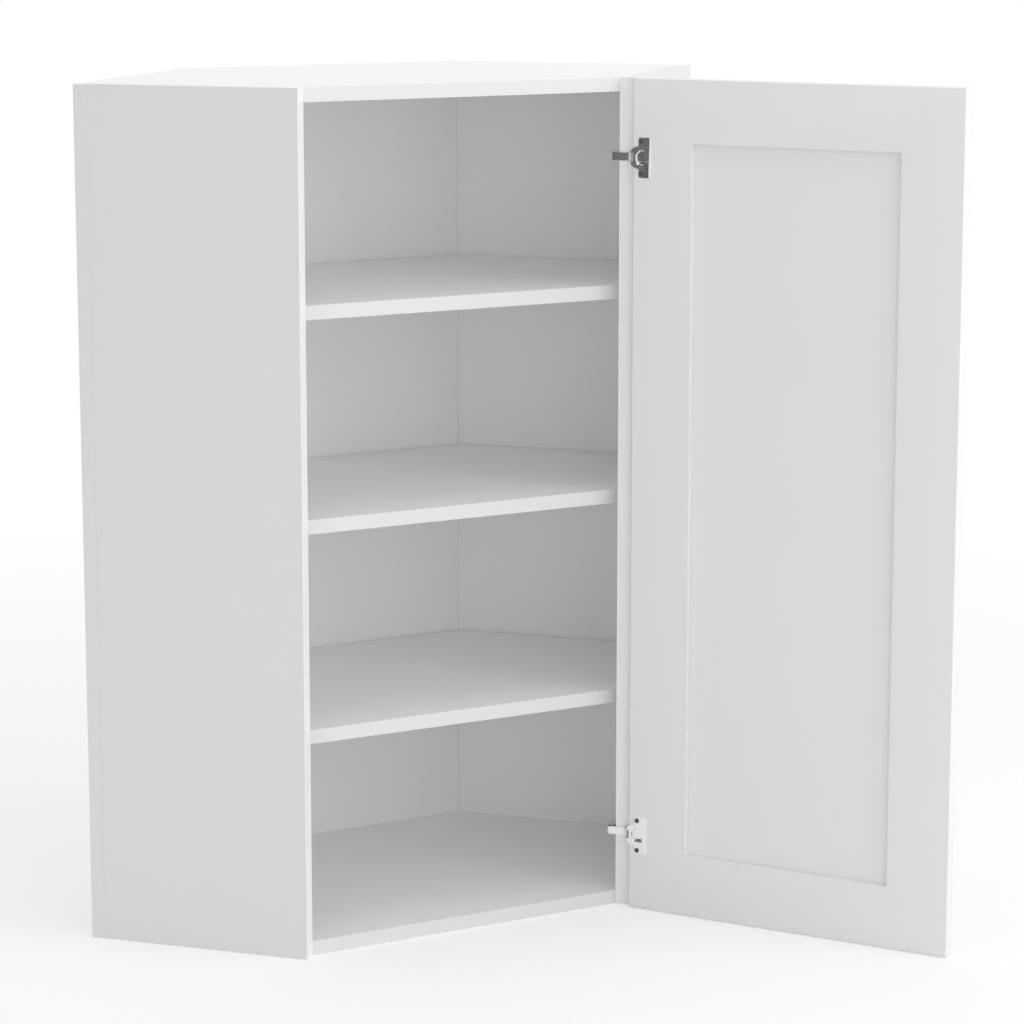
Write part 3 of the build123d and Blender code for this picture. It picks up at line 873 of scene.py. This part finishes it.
print("inner front corner of the right end panel:", [round(x, 4) for x in EDGE_CORNER])

# %% [markdown]
# Two screws hold each cup in the door, above and below the pocket, and two hold each mounting plate
# on the end panel. All eight are the same, so one rule lays them: once on the door and once on the
# cabinet, because a piece rides on one body.

# %% Cup and plate screws
PLATE_FACE, PLATE_SETBACK, PLATE_RISE = 2 * MM, 37 * MM, 16 * MM
plate_screw = screw_rule("plate screw", head_radius=3.1 * MM, head_height=1.0 * MM,
                         shank_radius=1.6 * MM, shank_length=13.5 * MM, recess=3.4 * MM,
                         finish=screw_steel)
plate_screw.lay("hinge_cup_screws_crossed", [
    (door_point(SCREW_FROM_EDGE, FLANGE_FACE, z + rise), OUT_OF_DOOR, Z_UP)
    for z in HINGE_Z for rise in (-SCREW_RISE, SCREW_RISE)], screw_steel, "door", "screw_steel",
    ["hinge_cup_screws"])
plate_screw.lay("hinge_plate_screws_crossed", [
    (arm_point(PLATE_FACE, -PLATE_SETBACK, z + rise), INTO_CABINET, Z_UP)
    for z in HINGE_Z for rise in (-PLATE_RISE, PLATE_RISE)], screw_steel, "cabinet", "screw_steel",
    ["hinge_plate_screws"])

# %% [markdown]
# Two nickel screws stand on the back of each arm: one clamps it on its plate, and one sets the door
# sideways. In each cup a rivet, its head leaning towards the pocket, holds the closing spring. To
# this rule a rivet is only a shorter screw.

# %% Arm screws and spring rivets
ARM_FACE, ARM_SCREWS = 12 * MM, (20 * MM, 44 * MM)
arm_screw = screw_rule("arm screw", head_radius=3.0 * MM, head_height=1.3 * MM,
                       shank_radius=1.5 * MM, shank_length=2.0 * MM, recess=3.2 * MM,
                       finish=nickel)
arm_screw.lay("hinge_arm_screws", [
    (arm_point(ARM_FACE, -back, z), INTO_CABINET, Z_UP) for z in HINGE_Z for back in ARM_SCREWS],
    nickel, "cabinet", "hinge_nickel")

RIVET_AT, RIVET_LEAN = (6.7 * MM, -7.2 * MM), math.radians(26)
to_pocket = door_way(SQUARE, 0, SQUARE)
leaning = OUT_OF_DOOR * math.cos(RIVET_LEAN) + to_pocket * math.sin(RIVET_LEAN)
rivet = screw_rule("spring rivet", head_radius=1.9 * MM, head_height=0.7 * MM,
                   shank_radius=1.4 * MM, shank_length=2.2 * MM, recess=1.6 * MM, finish=nickel)
rivet.lay("hinge_spring_rivets", [
    (door_point(RIVET_AT[0], FLANGE_FACE, z + RIVET_AT[1]), leaning, Z_UP) for z in HINGE_Z],
    nickel, "door", "hinge_nickel")

# %% [markdown]
# ### Dark bars of painted shade in the pockets
#
# A strip of dark steel lies across the lower end of each cup's pocket. It is painted shade: a short
# dark bar that stands in for the shade on the pocket's lower wall. A box would do, but a cut strip
# has no dead sharp corners, and the outline rounds them at no cost.

# %% The rule for the dark bars of painted shade
SHADE_BAR_AT, SHADE_BAR_SUNK, SHADE_BAR_ROUND = (13.8 * MM, -7.4 * MM), 0.3 * MM, 0.25 * MM
shade_bar_rule = Rule("pocket shade bar", {"Thick": 0.6 * MM, "Tall": 1.9 * MM, "Long": 10.0 * MM})
thick, tall, long = shade_bar_rule.inputs
shade_bar_rule.close(thickened(shade_bar_rule.start, [
    (0.0, tall * 0.5), (0.0, tall * -0.5), (thick, tall * -0.5), (thick, tall * 0.5)],
    SHADE_BAR_ROUND, long), screw_steel)
# Painted shade: one dark bar where the lower wall of each pocket is in shade.
shade_bar_rule.lay("hinge_pocket_shade_bars", [
    (door_point(SHADE_BAR_AT[0], FLANGE_FACE + SHADE_BAR_SUNK, z + SHADE_BAR_AT[1]), OUT_OF_DOOR, Z_UP)
    for z in HINGE_Z], screw_steel, "door", "screw_steel")

# %% [markdown]
# ### Shelf supports
#
# Four zinc angles carry each shelf. A stem is pushed in a bored hole, one leaf lies on the wall and
# the other reaches under the shelf. Two boxes would give the shape, but not the round of the bend.
# So the outline of the angle has its corners filleted before it gets its width, and the stem is a
# turned profile with a tapered end.

# %% The support rule
ANGLE_ROUND = 0.6 * MM
STEM_SIDES, STEM_IN_SHEET = 28, 1 * MM
STEM_TIP, STEM_TAPER = 0.7, 0.4
support_rule = Rule("shelf support", {"Reach": 11 * MM, "Drop": 9 * MM, "Sheet": 2 * MM,
                                      "Width": 12 * MM, "Stem radius": 2.5 * MM,
                                      "Stem length": 9 * MM})
reach, drop, sheet, width, stem, depth = support_rule.inputs
start = support_rule.start
angle = thickened(start, [
    (0.0, 0.0), (0.0, drop * -1.0), (sheet, drop * -1.0), (sheet, sheet * -1.0),
    (reach, sheet * -1.0), (reach, 0.0)], ANGLE_ROUND, width)
peg = turned(start, [
    (depth * -1.0, 0.0), (depth * -1.0, stem * STEM_TIP), (stem * STEM_TAPER - depth, stem),
    (STEM_IN_SHEET, stem), (STEM_IN_SHEET, 0.0)], STEM_SIDES)
support_rule.close(joined(start, angle, shifted(start, peg, y=drop * -0.5)), zinc)

# %% [markdown]
# Two supports of a shelf stand on the end panels and two on the back boards, so that it can't tip.
# Both walls are easiest to measure as a fitter does, from the corner of the room: along the wall
# and off it.

# %% Set the supports under the shelves
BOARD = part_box("bottom_panel")[1].z
CLIP_LEG = 283 * MM
ROOM_CORNER_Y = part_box("corner_back_panel")[1].y + CLIP_LEG * SQUARE
WALL_LENGTH, END_DEPTH = 609.6 * MM, 288.6 * MM
FRONT_SUPPORT, REAR_SUPPORT = 45 * MM, 135 * MM


def wall_point(side, along, off, z):
    """A place `along` a wall from the room's corner and `off` from that wall."""
    turn = -1 if side == "left" else 1
    return Vector((turn * (along - off) * SQUARE, ROOM_CORNER_Y - (along + off) * SQUARE, z))


inner = WALL_LENGTH - BOARD
for level in LEVELS:
    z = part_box(level + "_shelf")[0].z
    spots = []
    for side in ("left", "right"):
        in_front = wall_point(side, inner, END_DEPTH - FRONT_SUPPORT, z)
        at_back = wall_point(side, inner - REAR_SUPPORT, BOARD, z)
        spots += [(in_front, -OUT_OF_PANEL[side], Z_UP), (at_back, -TO_WALL[side], Z_UP)]
    support_rule.lay(level + "_shelf_supports_rounded", spots, zinc, "cabinet", "support_zinc",
                     [level + "_shelf_supports"])

# %% [markdown]
# ### Staples
#
# The back boards are stapled to the end panels, the bottom and the top. All that shows is the row
# of crowns on the outside, a hair proud of the paint. Crowns alone would do for the picture, but a
# staple is bent from one wire, so the outline takes in both legs.

# %% The staple rule
STAPLE_ROUND = 0.4 * MM
staple_rule = Rule("crown staple", {"Crown": 12.7 * MM, "Wire": 1.2 * MM, "Leg": 22 * MM,
                                    "Proud": 0.2 * MM})
crown, wire, leg, proud = staple_rule.inputs
half, inner = crown * 0.5, crown * 0.5 - wire
shoulder = proud - wire
staple_rule.close(thickened(staple_rule.start, [
    (proud, half), (leg * -1.0, half), (leg * -1.0, inner), (shoulder, inner),
    (shoulder, inner * -1.0), (leg * -1.0, inner * -1.0), (leg * -1.0, half * -1.0),
    (proud, half * -1.0)], STAPLE_ROUND, wire), zinc)

# %% [markdown]
# A fitter staples along each edge, a hand's breadth apart: up the end panel, and across the bottom
# and the top. The spots are worked out and not listed, so the pitch stays even on every board.

# %% Rows of staples
HEIGHT = cad_box[1].z
STAPLE_PITCH, STAPLE_INSET = 0.1, 9 * MM
UPRIGHT_GAP = 40 * MM
WALL_ROW, CORNER_ROW = (0.31, 0.57), (-0.17, 0.17)


def row(first, last):
    """Evenly spaced values from first to last, about a staple's pitch apart."""
    count = max(2, round((last - first) / STAPLE_PITCH) + 1)
    return [first + (last - first) * n / (count - 1) for n in range(count)]


levels = (STAPLE_INSET, HEIGHT - STAPLE_INSET)
staples = []
for side in ("left", "right"):
    out, along_wall = TO_WALL[side], OUT_OF_PANEL[side]
    staples += [(wall_point(side, WALL_LENGTH - STAPLE_INSET, 0, z), out, Z_UP)
                for z in row(UPRIGHT_GAP, HEIGHT - UPRIGHT_GAP)]
    staples += [(wall_point(side, along, 0, z), out, along_wall)
                for z in levels for along in row(*WALL_ROW)]
back_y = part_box("corner_back_panel")[1].y
staples += [(Vector((x, back_y, z)), Vector((0, 1, 0)), Vector((1, 0, 0)))
            for z in levels for x in row(*CORNER_ROW)]
staple_rule.lay("back_board_staples", staples, zinc, "cabinet", "screw_steel")

# %% [markdown]
# ## Studio
#
# The photograph was taken on a seamless white floor under broad, soft light. More light would turn
# the floor white, but burn out the cabinet too. So floor and world know which rays look at them:
# those of the camera and of reflections see white, and those that light the cabinet see a plain
# pale room.

# %% Rays, sheets and fades
def background_rays(start):
    """One for the rays that look at the background: from the camera, a mirror or glass."""
    rays = [start.node("ShaderNodeLightPath", output=kind)
            for kind in ("Is Camera Ray", "Is Glossy Ray", "Is Transmission Ray")]
    return rays[0].over(rays[1]).over(rays[2])


def stage_piece(name, material, points):
    """A flat sheet of the studio, which isn't part of the cabinet."""
    skin = bmesh.new()
    skin.faces.new([skin.verts.new(point) for point in points])
    sheet = in_scene(name, skin)
    sheet.data.materials.append(material)
    return sheet


def faded(start, fade, low, high, centre=(0, 0, 0), reach=(1, 1, 1)):
    """A value that goes smoothly from low to high between two distances from a centre."""
    place = start.node("ShaderNodeTexCoord", output="Object")
    place = start.node("ShaderNodeMapping", sockets={
        "Vector": place, "Location": [-c / r for c, r in zip(centre, reach)],
        "Scale": [1 / r for r in reach]})
    away = start.node("ShaderNodeVectorMath", {"operation": "LENGTH"}, {0: place}, output="Value")
    return start.node("ShaderNodeMapRange", {"interpolation_type": "SMOOTHSTEP"},
                      {"Value": away, "From Min": fade[0], "From Max": fade[1],
                       "To Min": low, "To Max": high})


# %% [markdown]
# ### Floor
#
# The floor is a roll of pale paper. Near the cabinet it takes a shadow, and further out it melts
# into the white background. A glow mixed into plain paper does both: it is weak under the cabinet
# and full from a few metres out, and only the rays that look at the floor see it.

# %% Floor paper
FLOOR_HALF = 30.0
PAPER, PAPER_MOTTLE, PAPER_CLOUDS = 0.865, 0.03, 2.0
FLOOR_GLOW, FLOOR_FADE = 0.4, (0.9, 2.6)
WHITE = (1, 1, 1)


def floor_paper():
    """Pale paper that takes the shadow near the cabinet and fades to plain white away from it."""
    material, start = new_finish("floor_paper")
    looked_at = background_rays(start)
    bright = looked_at * (1 - PAPER_MOTTLE + PAPER_MOTTLE * noise(start, PAPER_CLOUDS))
    diffuse = start.node("ShaderNodeBsdfDiffuse", sockets={
        "Color": tint(start, bright, (PAPER, PAPER, PAPER), WHITE)})
    glow = start.node("ShaderNodeEmission", sockets={"Color": (*WHITE, 1), "Strength": 1.0})
    seen = looked_at * faded(start, FLOOR_FADE, FLOOR_GLOW, 1.0)
    mixed = start.node("ShaderNodeMixShader", sockets={0: seen, 1: diffuse, 2: glow})
    start.node("ShaderNodeOutputMaterial", sockets={"Surface": mixed})
    return material


floor = stage_piece("studio_floor", floor_paper(),
                    [(x * FLOOR_HALF, y * FLOOR_HALF, 0)
                     for x, y in ((-1, -1), (1, -1), (1, 1), (-1, 1))])
print("floor:", floor.name, "of", 2 * FLOOR_HALF, "m")

# %% [markdown]
# ### Dark card
#
# Polished metal shows what stands around it, and in an all-white studio it would look white too. A
# photographer stands a dark card beside the set to give it contrast. Painting the metal darker
# would look flat, so the card is here as well. It stands to the left, where the open door's hinges
# look, and only reflections see it. Its edges fade, so that it leaves no line in the paint.

# %% Dark card
CARD_CENTRE, CARD_REACH = (-5.0, -2.3, 0.5), (1.0, 2.3, 1.1)
CARD_DARK, CARD_FADE = 0.06, (0.58, 0.8)


def card_black():
    """A near black that fades to white towards the card's edges."""
    material, start = new_finish("dark_card")
    level = faded(start, CARD_FADE, CARD_DARK, 1.0, CARD_CENTRE, CARD_REACH)
    glow = start.node("ShaderNodeEmission", sockets={
        "Color": tint(start, level, (0, 0, 0), WHITE), "Strength": 1.0})
    start.node("ShaderNodeOutputMaterial", sockets={"Surface": glow})
    return material


card_x, card_y, card_z = CARD_CENTRE
card = stage_piece("dark_card", card_black(), [
    (card_x, card_y + y * CARD_REACH[1], z)
    for y, z in ((-1, 0), (1, 0), (1, card_z + CARD_REACH[2]), (-1, card_z + CARD_REACH[2]))])
card.visible_camera = card.visible_diffuse = card.visible_shadow = False
card.visible_transmission = card.visible_volume_scatter = False
print("dark card at x =", card_x)

# %% [markdown]
# ### World and lamps
#
# The world is the pale room: it lights the cabinet evenly from all sides. Alone it would leave
# every board equally bright, so three big square lamps give direction: one in front, a stronger one
# from the right and one above. A small lamp would draw hard shadows, and broad ones keep them soft.

# %% World and lamps
WORLD_LEVEL = 0.72
world = bpy.data.worlds.new("studio")
bpy.context.scene.world = world
world.use_nodes = True
world.node_tree.nodes.clear()
start = Wire(world.node_tree)
level = WORLD_LEVEL + background_rays(start) * (1 - WORLD_LEVEL)
sky = start.node("ShaderNodeBackground", sockets={"Color": (*WHITE, 1), "Strength": level})
start.node("ShaderNodeOutputWorld", sockets={"Surface": sky})

LAMP_SIZE = 3.0
LAMP_TARGET = Vector((0, 0, HEIGHT / 2))


def soft_lamp(name, place, watts):
    """A square soft lamp that points at the middle of the cabinet."""
    lamp = bpy.data.lights.new(name, "AREA")
    lamp.size, lamp.energy = LAMP_SIZE, watts
    holder = bpy.data.objects.new(name, lamp)
    holder.location = place
    holder.rotation_euler = (LAMP_TARGET - Vector(place)).to_track_quat("-Z", "Y").to_euler()
    holder.visible_camera = False
    bpy.context.scene.collection.objects.link(holder)
    return holder


lamps = [soft_lamp("front_lamp", (0, -4.5, 1.2), watts=21),
         soft_lamp("side_lamp", (3, -3.5, 2.5), watts=67),
         soft_lamp("top_lamp", (0, 0, 4.5), watts=24)]
print("lamps:", [lamp.name for lamp in lamps])

# %% [markdown]
# ## Camera
#
# The viewing angle was worked out from the photograph. A camera that is only tipped down makes the
# uprights lean, so a photographer of furniture shifts the frame instead, and a little of that is
# kept. Light bounces many times between white boards, so more bounces than usual are allowed.

# %% Camera
CAMERA_PLACE = (-1.7067, -3.5643, 1.3000)
CAMERA_PITCH, CAMERA_YAW = math.radians(9.552), math.radians(27.763)
LENS, FILM_WIDTH, FRAME_SHIFT = 109.357, 36.0, -0.10
WHITE_ROOM_BOUNCES = 8
view = bpy.data.cameras.new("studio_camera")
view.lens, view.sensor_width, view.shift_y = LENS, FILM_WIDTH, FRAME_SHIFT
camera = bpy.data.objects.new("studio_camera", view)
camera.location = CAMERA_PLACE
camera.rotation_euler = (math.pi / 2 - CAMERA_PITCH, 0, -CAMERA_YAW)
bpy.context.scene.collection.objects.link(camera)
bpy.context.scene.camera = camera
bpy.context.scene.view_settings.view_transform = "Standard"
bpy.context.scene.cycles.diffuse_bounces = WHITE_ROOM_BOUNCES
print("camera at", CAMERA_PLACE, "with a lens of", LENS, "mm")
